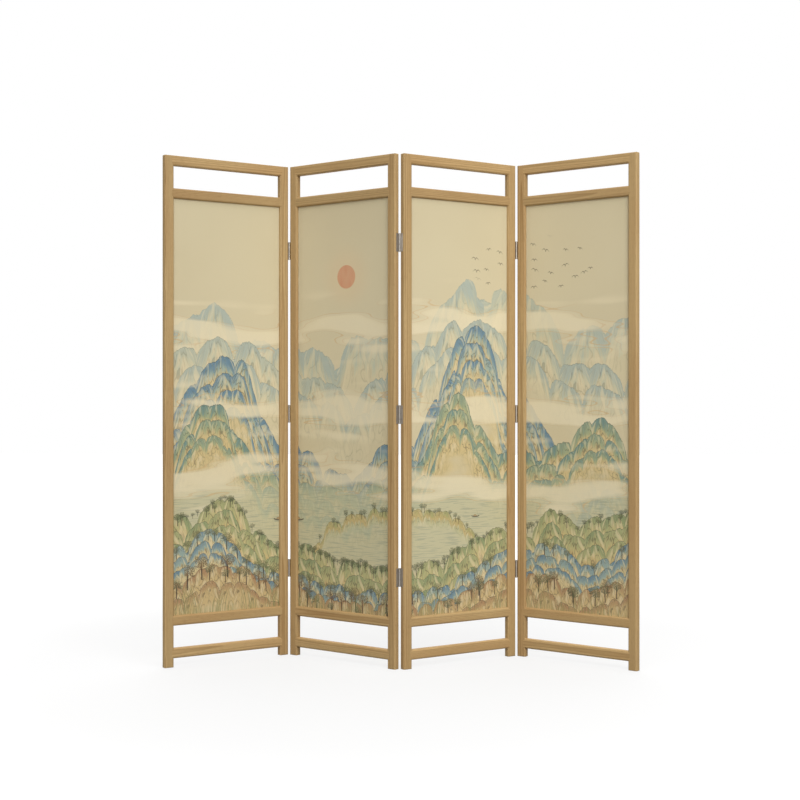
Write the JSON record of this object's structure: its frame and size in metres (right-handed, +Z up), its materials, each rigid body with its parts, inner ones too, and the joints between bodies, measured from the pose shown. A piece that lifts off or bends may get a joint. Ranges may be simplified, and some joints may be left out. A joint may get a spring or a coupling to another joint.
{
  "type": "folding screen",
  "caption": "Folding screen: framed panels with a picture on cloth, open gaps above and below it, joined edge to edge by butt hinges and standing in a zigzag.",
  "frame": {"origin": "on the floor, under the middle of the screen's bounding box as it stands in its zigzag", "axes": "+Z up, along the height; -Y is the front, from where the picture is seen as pictured; +X runs to the right along the line of the screen"},
  "size_m": [1.6668, 0.3112, 1.8],
  "materials": {
    "frame_wood": "light open-grained wood, clear satin lacquer",
    "core_board": "hardboard, matt",
    "picture_cloth": "printed canvas, matt",
    "hinge_steel": "zinc-plated, satin",
    "screw_steel": "zinc-plated, satin"
  },
  "bodies": {
    "panel_1": {"left_stile_1": "frame_wood", "right_stile_1": "frame_wood", "bottom_rail_1": "frame_wood", "lower_rail_1": "frame_wood", "upper_rail_1": "frame_wood", "top_rail_1": "frame_wood", "picture_board_1": "core_board", "picture_cloth_1": "picture_cloth", "hinge_1_2_low_leaf_1": "hinge_steel", "hinge_1_2_middle_leaf_1": "hinge_steel", "hinge_1_2_top_leaf_1": "hinge_steel", "hinge_pins_1_2": "hinge_steel", "hinge_screws_1": "screw_steel"},
    "panel_2": {"left_stile_2": "frame_wood", "right_stile_2": "frame_wood", "bottom_rail_2": "frame_wood", "lower_rail_2": "frame_wood", "upper_rail_2": "frame_wood", "top_rail_2": "frame_wood", "picture_board_2": "core_board", "picture_cloth_2": "picture_cloth", "hinge_1_2_low_leaf_2": "hinge_steel", "hinge_1_2_middle_leaf_2": "hinge_steel", "hinge_1_2_top_leaf_2": "hinge_steel", "hinge_2_3_low_leaf_2": "hinge_steel", "hinge_2_3_middle_leaf_2": "hinge_steel", "hinge_2_3_top_leaf_2": "hinge_steel", "hinge_pins_2_3": "hinge_steel", "hinge_screws_2": "screw_steel"},
    "panel_3": {"left_stile_3": "frame_wood", "right_stile_3": "frame_wood", "bottom_rail_3": "frame_wood", "lower_rail_3": "frame_wood", "upper_rail_3": "frame_wood", "top_rail_3": "frame_wood", "picture_board_3": "core_board", "picture_cloth_3": "picture_cloth", "hinge_2_3_low_leaf_3": "hinge_steel", "hinge_2_3_middle_leaf_3": "hinge_steel", "hinge_2_3_top_leaf_3": "hinge_steel", "hinge_3_4_low_leaf_3": "hinge_steel", "hinge_3_4_middle_leaf_3": "hinge_steel", "hinge_3_4_top_leaf_3": "hinge_steel", "hinge_pins_3_4": "hinge_steel", "hinge_screws_3": "screw_steel"},
    "panel_4": {"left_stile_4": "frame_wood", "right_stile_4": "frame_wood", "bottom_rail_4": "frame_wood", "lower_rail_4": "frame_wood", "upper_rail_4": "frame_wood", "top_rail_4": "frame_wood", "picture_board_4": "core_board", "picture_cloth_4": "picture_cloth", "hinge_3_4_low_leaf_4": "hinge_steel", "hinge_3_4_middle_leaf_4": "hinge_steel", "hinge_3_4_top_leaf_4": "hinge_steel", "hinge_screws_4": "screw_steel"}
  },
  "joints": [
    {"name": "fold_1_2", "type": "hinge", "parent": "panel_2", "child": "panel_1", "pos_m": [-0.41873, 0.13937, 0.9], "axis": [0, 0, 1], "range_deg": [-73, 107]},
    {"name": "fold_2_3", "type": "hinge", "parent": "panel_2", "child": "panel_3", "pos_m": [0, -0.13937, 0.9], "axis": [0, 0, 1], "range_deg": [-73, 107]},
    {"name": "fold_3_4", "type": "hinge", "parent": "panel_3", "child": "panel_4", "pos_m": [0.41873, 0.13937, 0.9], "axis": [0, 0, -1], "range_deg": [-73, 107]}
  ]
}
